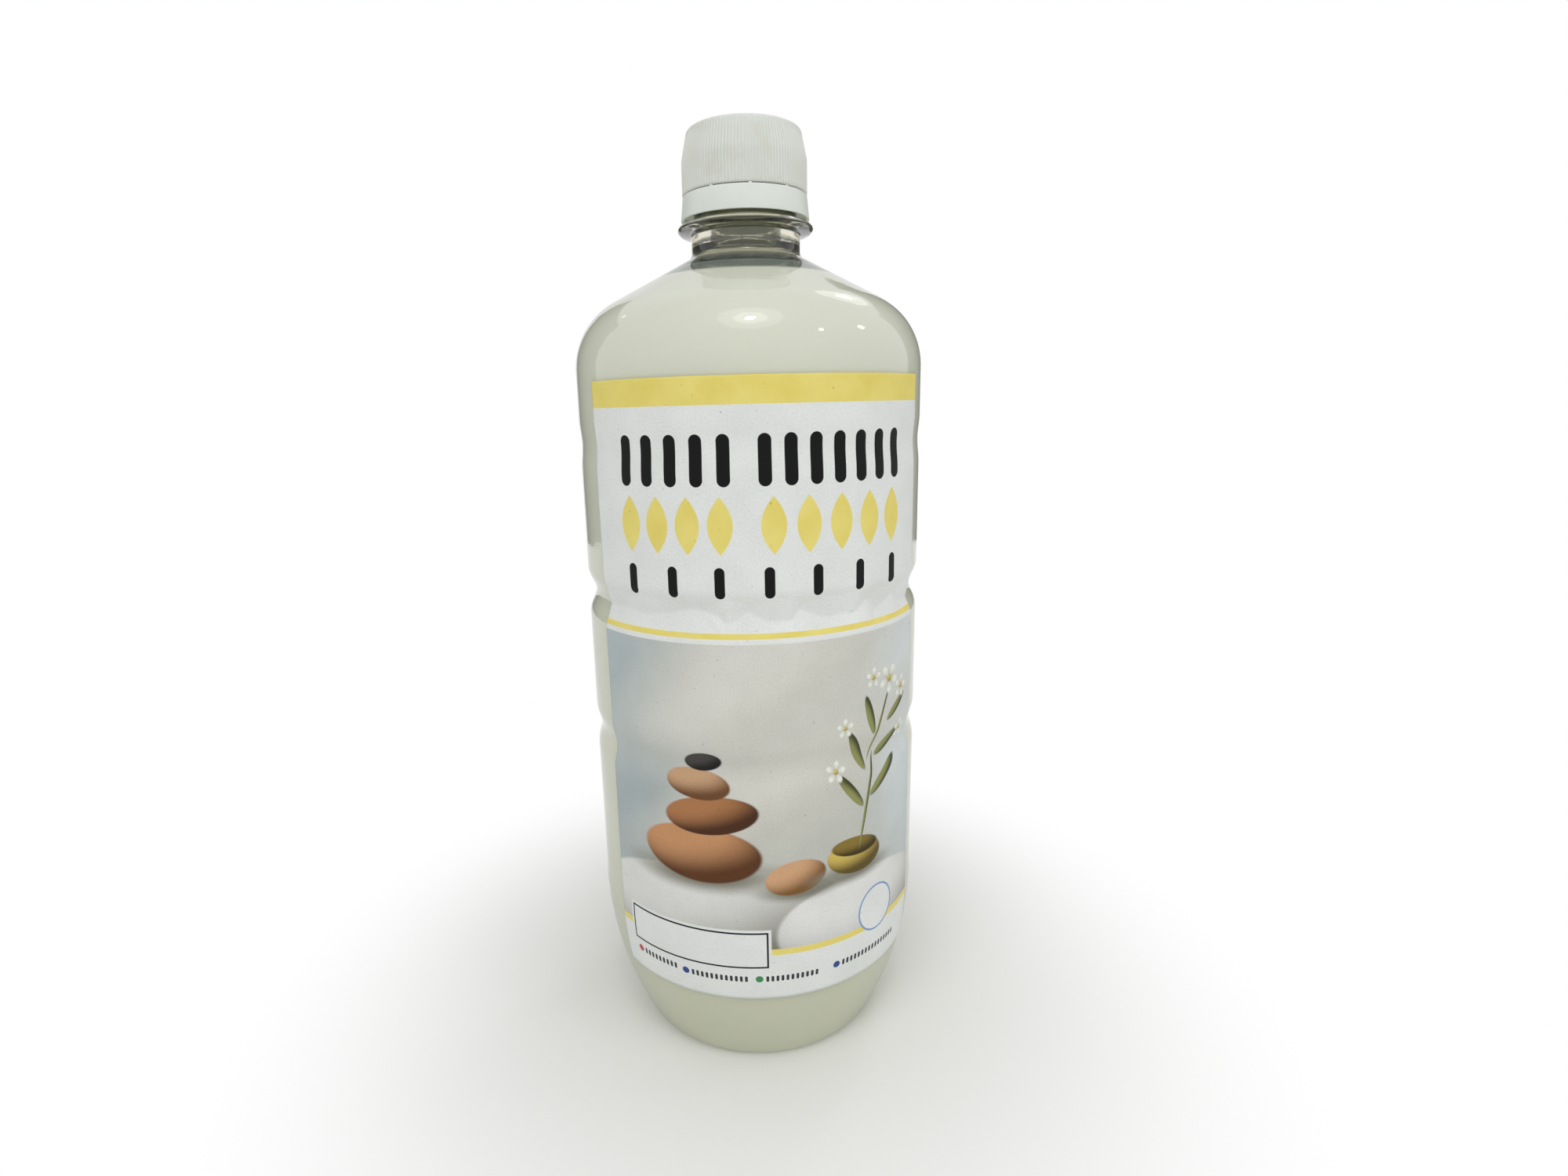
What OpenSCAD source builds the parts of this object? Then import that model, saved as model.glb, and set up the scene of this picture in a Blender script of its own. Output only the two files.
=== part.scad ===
// Liquid soap bottle: a clear blown one-litre bottle with a screw cap, a tamper band and a paper label.
// Millimetres. The origin is the centre of the standing ring, +Z is up and the label faces -Y.

/* [Bottle body] */
// Diameter of the straight wall
body_d = 85.6; // [80:0.2:92]
// Thickness of the blown wall
wall = 0.5; // [0.4:0.05:0.8]
// Height of the straight wall's top above the standing ring
wall_top = 173.7; // [172:0.1:190]
// Radius of the shoulder where it leaves the wall
shoulder_r = 18; // [14:0.5:20]
// Slope of the shoulder cone, from the upright
shoulder_angle = 62; // [58:1:66]
// Height at which the heel starts to draw in
heel_top = 41.2; // [36:0.2:46]
// Radius of the long curve of the heel
heel_long_r = 88; // [80:1:100]
// Radius of the tight curve down to the standing ring
heel_tight_r = 4; // [3:0.5:6]
// Width of the flat standing ring
foot_w = 1.6; // [1:0.2:3]
// Rise of the pushed-up base
base_rise = 7; // [4:0.5:10]
// Diameter of the moulding gate's mark in the middle of the base
gate_d = 5; // [3:0.5:8]
// Height of the gate's mark
gate_h = 0.8; // [0.4:0.1:1.5]

/* [Grooves] */
// Height of the deep middle groove
groove_z = 120.2; // [112:0.2:124]
// Distance from one groove to the next
groove_pitch = 36.3; // [32:0.1:38]
// Depth of the middle groove
waist_depth = 1.8; // [1:0.1:3]
// Depth of the lower groove
low_depth = 1.1; // [0.5:0.1:2]
// Depth of the upper groove
high_depth = 0.4; // [0.2:0.1:1]
// Width of each groove
groove_w = 12; // [8:0.5:16]

/* [Neck and finish] */
// Diameter of the neck below the support ring
neck_d = 26.6; // [26.4:0.1:27.6]
// Radius of the fillet between the shoulder and the neck
neck_fillet = 2.5; // [2:0.1:3.5]
// Length of the straight neck, from the shoulder's corner to the support ring
neck_h = 5.6; // [4.5:0.1:8]
// Bore of the mouth
bore_d = 21.74; // [20.5:0.02:22.5]
// Diameter of the support ring
ring_d = 33; // [32.4:0.1:35]
// Thickness of the support ring
ring_t = 1.8; // [1.4:0.1:2]
// Height from the support ring's underside to the lip
finish_h = 21; // [20.5:0.1:23]
// Diameter at the root of the thread
root_d = 24.94; // [24.4:0.02:25.2]
// Diameter of the bead that holds the tamper band
bead_d = 28; // [27.6:0.05:28.2]
// Distance from the lip down to the bead's underside
bead_drop = 14.6; // [14.2:0.1:15]
// Chamfer round the lip
lip_chamfer = 0.6; // [0.3:0.1:0.9]

/* [Thread] */
// Diameter over the thread
thread_d = 27.43; // [26.8:0.01:27.6]
// Pitch of the thread
thread_pitch = 3.18; // [2.9:0.01:3.3]
// Angle that the neck's thread covers
thread_sweep = 650; // [540:10:700]
// Angle that the cap's thread covers
cap_thread_sweep = 540; // [360:10:600]
// Distance from the lip down to the middle of the thread's upper end
thread_drop = 2; // [1.8:0.1:2.4]
// Height of a thread's ridge at the wall
ridge_h = 2; // [1.6:0.1:2]
// Height of a thread's ridge at its crest
crest_h = 0.7; // [0.4:0.1:0.9]
// Radial clearance of each thread's crest
thread_gap = 0.22; // [0.15:0.01:0.3]

/* [Closure] */
// Diameter of the cap and the band over the knurls
cap_d = 30.2; // [29.8:0.1:32]
// Number of knurls
knurls = 120; // [90:1:144]
// Depth of a knurl
knurl_depth = 0.25; // [0.15:0.05:0.3]
// Height of the cap's straight skirt, where the knurls are upright
skirt_h = 7.3; // [6:0.1:9]
// Draft of the cap above the skirt
cap_draft = 9.5; // [4:0.5:11]
// Thickness of the cap's top
cap_top_t = 1.3; // [1:0.1:2]
// Radius of the rounded edge at the cap's top
cap_edge_r = 1.2; // [0.6:0.1:1.3]
// Height of the tamper band
band_h = 5.3; // [5:0.1:5.6]
// Distance by which the band flares out at its lower edge
band_flare = 0.5; // [0.2:0.1:0.8]
// Thickness of the band's wall
band_t = 0.7; // [0.6:0.05:0.8]
// Height of the slit between the band and the cap
slit_h = 0.4; // [0.3:0.05:0.6]
// Number of small bridges in the slit
bridges = 10; // [6:1:16]
// Width of a bridge
bridge_w = 0.8; // [0.5:0.1:1.2]
// Thickness of the seal disc
liner_t = 0.7; // [0.5:0.05:1]
// Clearance at the seal disc's two faces and at the bridges
seal_gap = 0.05; // [0.03:0.01:0.1]
// Radial clearance round the seal disc
liner_gap = 0.15; // [0.1:0.05:0.3]

/* [Filling] */
// Height of the liquid
level = 197.1; // [185:0.1:200]

/* [Label] */
// Width of the paper round the wall
label_w = 90; // [70:1:120]
// Height of the paper's lower edge
label_z = 24; // [20:0.2:30]
// Height of the paper, edge to edge
label_h = 147.3; // [140:0.1:148]
// Thickness of the paper
paper_t = 0.2; // [0.1:0.05:0.3]
// Thickness of the glue under the paper
glue_t = 0.05; // [0.03:0.01:0.1]
// Height of the bar along the top edge
bar_h = 5.9; // [3:0.1:10]
// Height of the thin rule over the picture
rule_z = 114.3; // [105:0.1:125]
// Thickness of a thin rule
rule_h = 1.7; // [0.5:0.1:3]
// Gap between the upper rule and the picture
rule_gap = 1.4; // [0.5:0.1:3]
// Height of the thin rule under the picture
low_rule_z = 37; // [34:0.1:45]

/* [Hidden] */
$fn = 96;

body_r = body_d / 2;
neck_r = neck_d / 2;
bore_r = bore_d / 2;
ring_r = ring_d / 2;
root_r = root_d / 2;
thread_r = thread_d / 2;
bead_r = bead_d / 2;
cap_r = cap_d / 2;

// The heel: a long curve about heel_c, then a tight one about foot_c down to the standing ring
heel_c = [body_r - heel_long_r, heel_top];
foot_reach = sqrt(pow(heel_long_r - heel_tight_r, 2) - pow(heel_top - heel_tight_r, 2));
foot_c = [heel_c.x + foot_reach, heel_tight_r];
heel_angle = atan2(heel_top - heel_tight_r, foot_reach);
foot_in_r = foot_c.x - foot_w;
// The pushed-up base is part of a sphere through the standing ring's inner edge
base_r = (foot_in_r * foot_in_r + base_rise * base_rise) / (2 * base_rise);

// The shoulder: an arc about shoulder_c, a cone, and a fillet about fillet_c up to the neck
shoulder_c = [body_r - shoulder_r, wall_top];
cone_n = [cos(shoulder_angle), sin(shoulder_angle)];
cone_start = shoulder_c + shoulder_r * cone_n;
fillet_c = [
    neck_r + neck_fillet,
    cone_start.y + (neck_fillet - (neck_r + neck_fillet - cone_start.x) * cone_n.x) / cone_n.y
];
neck_corner_z = cone_start.y + (cone_start.x - neck_r) / tan(shoulder_angle);
ring_z = neck_corner_z + neck_h;
lip_z = ring_z + finish_h;
// Inside, the fillet ends at this angle and the wall thickens up to the start of the bore
throat_angle = 215;
bore_start_z = fillet_c.y + 1.5;

// The support ring's rounded rim, and its foot on the thread's root
ring_edge = 0.4;
ring_foot = 0.6;

// The bead: a steep underside, a short crest and a long slope up to the root
bead_z = lip_z - bead_drop;
bead_under = 0.5;
bead_crest = 0.8;
bead_slope = 1.4;

// Each groove's depth and height, from the lowest up
grooves = [
    [low_depth, groove_z - groove_pitch],
    [waist_depth, groove_z],
    [high_depth, groove_z + groove_pitch]
];
groove_steps = 8;

// The threads: how far the root is sunk in its wall, the angle over which an end fades, and a section's angle
thread_sink = 0.3;
thread_fade = 30;
thread_step = 10;
neck_thread_z = lip_z - thread_drop - thread_pitch * thread_sweep / 360;

// The closure, stacked from the bead and the lip
band_top_z = bead_z + 1.8;
band_z = band_top_z - band_h;
cap_z = band_top_z + slit_h;
cap_inside_z = lip_z + 2 * seal_gap + liner_t;
cap_top_z = cap_inside_z + cap_top_t;
skirt_top_z = cap_z + skirt_h;
crown_r = cap_r - (cap_top_z - skirt_top_z) * tan(cap_draft);
cap_bore_r = thread_r + thread_gap;
cap_bore_top_z = lip_z - 0.8;
liner_r = root_r + 0.4;
// The band's inner lip hooks under the bead
band_lip_r = root_r + 0.7;
band_lip_h = 0.8;
band_lip_gap = 0.3;
bridge_root = 0.3;

label_angle = label_w / body_r * 180 / PI;
label_top_z = label_z + label_h;
paper_white = [0.93, 0.94, 0.93];
paper_gold = [0.87, 0.78, 0.42];
paper_picture = [0.79, 0.80, 0.76];

// Points of an arc about c, from angle a to angle b
function arc(c, r, a, b, n = 8) =
    [for (i = [0:n]) let (t = a + (b - a) * i / n) [c.x + r * cos(t), c.y + r * sin(t)]];

// A list turned end for end
function reversed(list) = [for (i = [len(list) - 1:-1:0]) list[i]];

// One groove's points on a wall that is set in by t
function groove(g, t) = [
    for (i = [0:groove_steps])
        let (s = i / groove_steps - 0.5)
        [body_r - t - g[0] * (0.5 + 0.5 * cos(360 * s)), g[1] + groove_w * s]
];

// The wall from the standing ring to the shoulder's cone, set in by t; a negative t lies outside it
function wall_line(t) = concat(
    arc(foot_c, heel_tight_r - t, -90, -heel_angle, 6),
    arc(heel_c, heel_long_r - t, -heel_angle, 0, 12),
    [for (g = grooves) each groove(g, t)],
    arc(shoulder_c, shoulder_r - t, 0, shoulder_angle, 12)
);

// The pushed-up base from its middle to the standing ring, with the cavity's floor set in by t
function base_line(t) =
    let (edge = acos((base_r - base_rise + t) / (base_r + t)))
    arc([0, base_rise - base_r], base_r + t, 90, 90 - edge);

// The finish from the neck's fillet to the lip
function finish_line() = concat(
    arc(fillet_c, neck_fillet, 180 + shoulder_angle, 180, 5),
    [
        [neck_r, ring_z - ring_edge],
        [ring_r - ring_edge, ring_z],
        [ring_r, ring_z + ring_edge],
        [ring_r, ring_z + ring_t - ring_edge],
        [ring_r - ring_edge, ring_z + ring_t],
        [root_r + ring_foot, ring_z + ring_t + ring_foot / 2],
        [root_r, ring_z + ring_t + ring_foot * 1.5],
        [root_r, bead_z - bead_under],
        [bead_r, bead_z],
        [bead_r, bead_z + bead_crest],
        [root_r, bead_z + bead_crest + bead_slope],
        [root_r, lip_z - lip_chamfer],
        [root_r - lip_chamfer, lip_z]
    ]
);

// The room inside the bottle, from the floor to the lip
module cavity_outline() {
    polygon(concat(
        base_line(wall),
        wall_line(wall),
        arc(fillet_c, neck_fillet + wall, 180 + shoulder_angle, throat_angle, 3),
        [[bore_r, bore_start_z], [bore_r, lip_z], [0, lip_z]]
    ));
}

// One section of a thread at angle a: a trapezoid with half-heights h0 at radius r0 and h1 at radius r1
function thread_section(a, z, r0, h0, r1, h1) = [
    for (p = [[r0, -h0], [r1, -h1], [r1, h1], [r0, h0]])
        [p.x * cos(a), p.x * sin(a), z + p.y]
];

// A right-hand thread that climbs from z, with its root sunk a little into the wall at wall_r.
// Its crest rises out of the wall over the first and last thread_fade degrees.
module thread(z, sweep, wall_r, crest_r) {
    side = sign(crest_r - wall_r);
    sunk_r = wall_r - side * thread_sink;
    sunk_h = ridge_h / 2 + thread_sink * (ridge_h - crest_h) / 2 / abs(crest_r - wall_r);
    steps = ceil(sweep / thread_step);
    sections = [
        for (i = [0:steps])
            let (
                a = sweep * i / steps,
                rise = min(1, a / thread_fade, (sweep - a) / thread_fade),
                edge_r = sunk_r + (crest_r - sunk_r) * max(0.1, rise),
                climb = z + thread_pitch * a / 360
            )
            side > 0
                ? thread_section(a, climb, sunk_r, sunk_h, edge_r, crest_h / 2)
                : thread_section(a, climb, edge_r, crest_h / 2, sunk_r, sunk_h)
    ];
    last = 4 * steps;
    polyhedron(
        points = [for (s = sections) each s],
        faces = concat(
            [[0, 2, 1], [0, 3, 2], [last, last + 1, last + 2], [last, last + 2, last + 3]],
            [for (i = [0:steps - 1], j = [0:3])
                let (p = 4 * i + j, q = 4 * i + (j + 1) % 4)
                each [[p, q + 4, p + 4], [p, q, q + 4]]]
        )
    );
}

module bottle() {
    color([0.80, 0.84, 0.80, 0.45]) {
        rotate_extrude()
        difference() {
            union() {
                polygon(concat(base_line(0), wall_line(0), finish_line(), [[0, lip_z]]));
                translate([0, base_rise - gate_h]) square([gate_d / 2, gate_h + wall / 2]);
            }
            cavity_outline();
        }
        thread(neck_thread_z, thread_sweep, root_r, thread_r);
    }
}

module liquid_soap() {
    color([0.80, 0.82, 0.74])
    rotate_extrude()
    intersection() {
        cavity_outline();
        square([body_r, level]);
    }
}

// The knurled outline of the cap, a row of shallow V grooves
module knurl_outline() {
    polygon([
        for (i = [0:2 * knurls - 1])
            let (a = 180 * i / knurls, r = cap_r - (i % 2) * knurl_depth)
            [r * cos(a), r * sin(a)]
    ]);
}

// The cap's rounded outer form, wide enough round the skirt to clear the knurls
module cap_form() {
    spare = 1;
    edge_c = [crown_r - cap_edge_r, cap_top_z - cap_edge_r];
    rotate_extrude()
    polygon(concat(
        [[0, cap_z], [cap_r + spare, cap_z], [cap_r + spare, edge_c.y - spare]],
        arc(edge_c, cap_edge_r, 15, 90, 5),
        [[0, cap_top_z]]
    ));
}

module screw_cap() {
    color([0.90, 0.92, 0.90]) {
        difference() {
            intersection() {
                union() {
                    translate([0, 0, cap_z]) linear_extrude(skirt_h) knurl_outline();
                    translate([0, 0, skirt_top_z])
                    linear_extrude(cap_top_z - skirt_top_z, scale = crown_r / cap_r) knurl_outline();
                }
                cap_form();
            }
            cylinder(r = cap_bore_r, h = cap_bore_top_z);
            cylinder(r = liner_r + liner_gap, h = cap_inside_z);
        }
        // The cap's thread runs half a pitch below the neck's
        thread(neck_thread_z - thread_pitch / 2, cap_thread_sweep, cap_bore_r, root_r + thread_gap);
    }
}

module cap_liner() {
    color([0.94, 0.94, 0.92])
    translate([0, 0, lip_z + seal_gap]) cylinder(r = liner_r, h = liner_t);
}

module tamper_band() {
    inner_r = cap_r - band_t;
    lip_top_z = bead_z - band_lip_gap;
    color([0.92, 0.94, 0.92]) {
        rotate_extrude()
        polygon([
            [inner_r + band_flare, band_z],
            [cap_r + band_flare, band_z],
            [cap_r, band_top_z - bridge_root],
            [cap_r - 0.1, band_top_z],
            [inner_r, band_top_z],
            [inner_r, lip_top_z + 0.1],
            [band_lip_r, lip_top_z],
            [band_lip_r, lip_top_z - band_lip_h],
            [inner_r + band_flare / 2, lip_top_z - 2 * band_lip_h]
        ]);
        for (i = [0:bridges - 1])
            rotate(360 * (i + 0.5) / bridges)
            translate([inner_r + 0.1, -bridge_w / 2, band_top_z - bridge_root])
            cube([band_t - 0.3, bridge_w, bridge_root + slit_h - seal_gap]);
    }
}

// A part of the label between two heights, in one colour
module label_strip(z0, z1, ink) {
    color(ink)
    rotate(-90 - label_angle / 2)
    rotate_extrude(angle = label_angle)
    intersection() {
        polygon(concat(wall_line(-glue_t - paper_t), reversed(wall_line(-glue_t))));
        translate([body_r / 2, z0]) square([body_r, z1 - z0]);
    }
}

module paper_label() {
    label_strip(label_z, low_rule_z, paper_white);
    label_strip(low_rule_z, low_rule_z + rule_h, paper_gold);
    label_strip(low_rule_z + rule_h, rule_z - rule_gap, paper_picture);
    label_strip(rule_z - rule_gap, rule_z, paper_white);
    label_strip(rule_z, rule_z + rule_h, paper_gold);
    label_strip(rule_z + rule_h, label_top_z - bar_h, paper_white);
    label_strip(label_top_z - bar_h, label_top_z, paper_gold);
}

bottle();
liquid_soap();
screw_cap();
cap_liner();
tamper_band();
paper_label();
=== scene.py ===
import math
from functools import partial

import bpy
import numpy as np
from mathutils import Matrix, Vector


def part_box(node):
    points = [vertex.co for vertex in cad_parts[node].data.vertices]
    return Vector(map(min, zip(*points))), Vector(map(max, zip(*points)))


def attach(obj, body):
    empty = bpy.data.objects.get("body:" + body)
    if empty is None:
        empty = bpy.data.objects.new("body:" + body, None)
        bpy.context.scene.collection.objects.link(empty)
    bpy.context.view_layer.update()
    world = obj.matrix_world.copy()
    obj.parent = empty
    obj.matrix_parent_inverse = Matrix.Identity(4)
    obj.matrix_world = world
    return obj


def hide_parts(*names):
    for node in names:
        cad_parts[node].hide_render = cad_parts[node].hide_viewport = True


# The dressed soap bottle: clear blown PET, cloudy soap, white closure and a printed paper label.
# Blender works in metres; the profiles below are in millimetres, and lathe() turns them into metres.
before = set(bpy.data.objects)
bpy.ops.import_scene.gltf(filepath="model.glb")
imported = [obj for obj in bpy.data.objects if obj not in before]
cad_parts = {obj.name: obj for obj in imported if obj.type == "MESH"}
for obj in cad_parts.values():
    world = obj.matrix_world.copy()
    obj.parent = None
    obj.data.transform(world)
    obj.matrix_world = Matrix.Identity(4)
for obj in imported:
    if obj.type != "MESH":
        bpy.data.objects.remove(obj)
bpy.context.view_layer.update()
mm = 0.001


def nodeSize(node):
    low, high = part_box(node)
    return low / mm, high / mm


bottleLow, bottleHigh = nodeSize("bottle")
soapLow, soapHigh = nodeSize("liquid_soap")
capLow, capHigh = nodeSize("screw_cap")
linerLow, linerHigh = nodeSize("cap_liner")
bandLow, bandHigh = nodeSize("tamper_band")
paperLow, paperHigh = nodeSize("paper_label")


# Colours are sRGB hex values
def colour(code):
    channels = [int(code[i:i + 2], 16) / 255 for i in (1, 3, 5)]
    return [c / 12.92 if c <= 0.04045 else ((c + 0.055) / 1.055) ** 2.4 for c in channels] + [1]


# Adds a node, sets its settings, and fills its sockets with values or links
def addNode(tree, kind, values=(), **settings):
    made = tree.nodes.new(kind)
    for name, value in settings.items():
        setattr(made, name, value)
    pairs = values.items() if isinstance(values, dict) else enumerate(values)
    for key, value in pairs:
        if isinstance(value, bpy.types.NodeSocket):
            tree.links.new(value, made.inputs[key])
        elif value is not None:
            made.inputs[key].default_value = value
    return made


def calc(tree, operation, *values):
    return addNode(tree, "ShaderNodeMath", values, operation=operation).outputs[0]


def vectorCalc(tree, operation, *values):
    result = "Value" if operation in ("LENGTH", "DOT_PRODUCT") else "Vector"
    return addNode(tree, "ShaderNodeVectorMath", values, operation=operation).outputs[result]


# Maps a value from one span onto another and clamps it there
def ranged(tree, value, span, target=(0, 1), **settings):
    return addNode(tree, "ShaderNodeMapRange", {
        "Value": value, "From Min": span[0], "From Max": span[1], "To Min": target[0], "To Max": target[1],
    }, **settings).outputs[0]


def mixed(tree, share, first, second, blend="MIX"):
    values = {0: share, 6: first, 7: second}
    return addNode(tree, "ShaderNodeMix", values, data_type="RGBA", blend_type=blend).outputs[2]


def newObject(name, data):
    made = bpy.data.objects.new(name, data)
    bpy.context.scene.collection.objects.link(made)
    return made


def newMesh(name, verts, faces):
    mesh = bpy.data.meshes.new(name)
    mesh.from_pydata(verts, [], faces)
    return newObject(name, mesh)


def newMaterial(name):
    made = bpy.data.materials.new(name)
    made.use_nodes = True
    made.node_tree.nodes.clear()
    return made, made.node_tree


def finishMaterial(tree, shader):
    addNode(tree, "ShaderNodeOutputMaterial", {"Surface": shader.outputs[0]})


def newGroup(kind, name, inputs, outputs):
    tree = bpy.data.node_groups.new(name, kind)
    for socketName, socketKind in inputs:
        tree.interface.new_socket(socketName, in_out="INPUT", socket_type=socketKind)
    for socketName, socketKind in outputs:
        tree.interface.new_socket(socketName, in_out="OUTPUT", socket_type=socketKind)
    return tree, tree.nodes.new("NodeGroupInput"), tree.nodes.new("NodeGroupOutput")


# Turns a profile of (radius, height) points about the z axis. It closes where a point is on the axis.
# Walked up the outside of a solid, the faces point outwards. swell(angle, r, z) adds to the radius.
def lathe(name, line, steps, swell=None, loop=False):
    line = np.array(line, float)
    angles = np.arange(steps) * 2 * math.pi / steps
    rows = [k for k in range(len(line)) if line[k, 0] > 1e-6]
    verts = []
    for k in rows:
        r = np.full(steps, line[k, 0])
        if swell:
            r = r + swell(angles, line[k, 0], line[k, 1])
        verts.append(np.stack([r * np.cos(angles), r * np.sin(angles), np.full(steps, line[k, 1])], 1))
    verts = np.concatenate(verts)
    ring = np.arange(steps)
    turned = np.roll(ring, -1)
    faces = []
    pairs = [(i, i + 1) for i in range(len(rows) - 1)]
    if loop:
        pairs.append((len(rows) - 1, 0))
    for i, j in pairs:
        a, b = i * steps, j * steps
        faces += np.stack([a + ring, a + turned, b + turned, b + ring], 1).tolist()
    for end, row in ((0, 0), (len(line) - 1, len(rows) - 1)):
        if line[end, 0] > 1e-6:
            continue
        pole = len(verts)
        verts = np.vstack([verts, [0, 0, line[end, 1]]])
        a = row * steps
        first, second = (turned, ring) if end == 0 else (ring, turned)
        faces += np.stack([np.full(steps, pole), a + first, a + second], 1).tolist()
    return newMesh(name, (verts * mm).tolist(), faces)


def smooth(piece, degrees=35):
    piece.data.shade_smooth()
    piece.data.set_sharp_from_angle(angle=math.radians(degrees))


# Runs a node tree on a piece and keeps the result as a plain mesh
def applyTree(piece, tree, sizes):
    step = piece.modifiers.new(tree.name, "NODES")
    step.node_group = tree
    for socket in tree.interface.items_tree:
        if socket.in_out == "INPUT" and socket.name in sizes:
            step[socket.identifier] = sizes[socket.name]
    graph = bpy.context.evaluated_depsgraph_get()
    made = bpy.data.meshes.new_from_object(piece.evaluated_get(graph), depsgraph=graph)
    piece.modifiers.remove(step)
    piece.data = made


# Ends a geometry tree with real geometry in its material
def finishTree(tree, end, made, material):
    real = addNode(tree, "GeometryNodeRealizeInstances", (made,)).outputs[0]
    done = addNode(tree, "GeometryNodeSetMaterial", {"Geometry": real, "Material": material}).outputs[0]
    tree.links.new(done, end.inputs[0])


def arc(centre, r, a, b, n):
    turn = np.radians(np.linspace(a, b, n + 1))
    return [(centre[0] + r * math.cos(t), centre[1] + r * math.sin(t)) for t in turn]


# Rounds each inner corner of a line with a short curve that starts `size` before it
def soften(line, size, n=3):
    made = [line[0]]
    for before, corner, after in zip(line, line[1:], line[2:]):
        corner = np.array(corner, float)
        back, on = np.array(before) - corner, np.array(after) - corner
        p = corner + back * min(size / np.linalg.norm(back), 0.45)
        q = corner + on * min(size / np.linalg.norm(on), 0.45)
        for t in np.linspace(0, 1, n + 1):
            made.append(tuple((1 - t) ** 2 * p + 2 * t * (1 - t) * corner + t * t * q))
    return made + [line[-1]]


# Camera

view = dict(
    distance=215.1, height=164.5, azimuth=-5, pitch=12.53, roll=-1.17,  # mm and degrees
    focal=1047.4, centreX=960.2, centreY=753.5,  # pixels
    imageW=2000, imageH=1500,
)


def makeCamera():
    lens = bpy.data.cameras.new("camera")
    lens.sensor_width = 36
    lens.lens = lens.sensor_width * view["focal"] / view["imageW"]
    lens.shift_x = (view["imageW"] / 2 - view["centreX"]) / view["imageW"]
    lens.shift_y = (view["centreY"] - view["imageH"] / 2) / view["imageW"]
    lens.clip_start = 0.01
    camera = newObject("camera", lens)
    azimuth = math.radians(view["azimuth"])
    place = Vector((math.sin(azimuth), -math.cos(azimuth), 0)) * view["distance"]
    place.z = view["height"]
    turn = (
        Matrix.Rotation(azimuth, 4, "Z")
        @ Matrix.Rotation(math.radians(90 - view["pitch"]), 4, "X")
        @ Matrix.Rotation(math.radians(view["roll"]), 4, "Z")
    )
    camera.matrix_world = Matrix.Translation(place * mm) @ turn
    bpy.context.scene.camera = camera


makeCamera()
print("camera made")


# Bottle: the same arcs as the CAD part's, with finer steps

bottle = dict(
    bodyR=bottleHigh.x, wall=0.5, wallTop=173.7, shoulderR=18, shoulderAngle=62,
    heelTop=41.2, heelLongR=88, heelTightR=4, footW=1.6, baseRise=7, gateR=2.5, gateH=0.8,
    grooves=((1.1, 83.9), (1.8, 120.2), (0.4, 156.5)), grooveW=12,  # depth and height
    neckR=13.3, neckFillet=2.5, neckH=5.6, boreR=10.87, throatAngle=215, boreRise=1.5,
    ringR=16.5, ringT=1.8, ringEdge=0.65, ringFoot=0.6, finishH=21, rootR=12.47,
    beadR=14, beadDrop=14.6, beadUnder=0.5, beadCrest=0.8, beadSlope=1.4, lipChamfer=0.6,
    heelRings=(41, 36, 30), heelRingDepth=0.22, heelRingW=0.8,
    ringRise=0.4, rimSoft=0.35, lipSoft=0.4, lipDepth=2, gateEdge=0.2,
    steps=192, threadRows=62,
)

thread = dict(r=13.715, pitch=3.18, sweep=650, drop=2, ridge=2, crest=0.7, fade=30, gap=0.22, capSweep=540)

b = bottle
heelC = (b["bodyR"] - b["heelLongR"], b["heelTop"])
footReach = math.sqrt((b["heelLongR"] - b["heelTightR"]) ** 2 - (b["heelTop"] - b["heelTightR"]) ** 2)
footC = (heelC[0] + footReach, b["heelTightR"])
heelAngle = math.degrees(math.atan2(b["heelTop"] - b["heelTightR"], footReach))
footInR = footC[0] - b["footW"]
baseR = (footInR ** 2 + b["baseRise"] ** 2) / (2 * b["baseRise"])
shoulderC = (b["bodyR"] - b["shoulderR"], b["wallTop"])
coneN = (math.cos(math.radians(b["shoulderAngle"])), math.sin(math.radians(b["shoulderAngle"])))
coneStart = (shoulderC[0] + b["shoulderR"] * coneN[0], shoulderC[1] + b["shoulderR"] * coneN[1])
filletR = b["neckR"] + b["neckFillet"]
filletC = (filletR, coneStart[1] + (b["neckFillet"] - (filletR - coneStart[0]) * coneN[0]) / coneN[1])
lipZ = bottleHigh.z
ringZ = lipZ - b["finishH"]
beadZ = lipZ - b["beadDrop"]
threadZ = lipZ - thread["drop"] - thread["pitch"] * thread["sweep"] / 360


# How far the grooves draw the wall in at a height
def grooveDip(z):
    dip = np.zeros_like(np.asarray(z, float))
    for depth, middle in b["grooves"]:
        s = np.clip((z - middle) / b["grooveW"], -0.5, 0.5)
        dip += depth * (0.5 + 0.5 * np.cos(2 * math.pi * s))
    return dip


def heelRing(z):
    return sum(b["heelRingDepth"] * math.exp(-((z - c) / b["heelRingW"]) ** 2) for c in b["heelRings"])


# The wall from the standing ring to the shoulder's cone, set in by t
def wallLine(t, fine=1):
    heel = arc(heelC, b["heelLongR"] - t, -heelAngle, 0, 44 // fine)
    line = arc(footC, b["heelTightR"] - t, -90, -heelAngle, 8)
    line += [(r - heelRing(z), z) for r, z in heel[1:]]
    for depth, middle in b["grooves"]:
        for s in np.linspace(-0.5, 0.5, 1 + 20 // fine):
            z = middle + b["grooveW"] * s
            line.append((b["bodyR"] - t - float(grooveDip(z)), z))
    return line + arc(shoulderC, b["shoulderR"] - t, 0, b["shoulderAngle"], 24 // fine)


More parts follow.
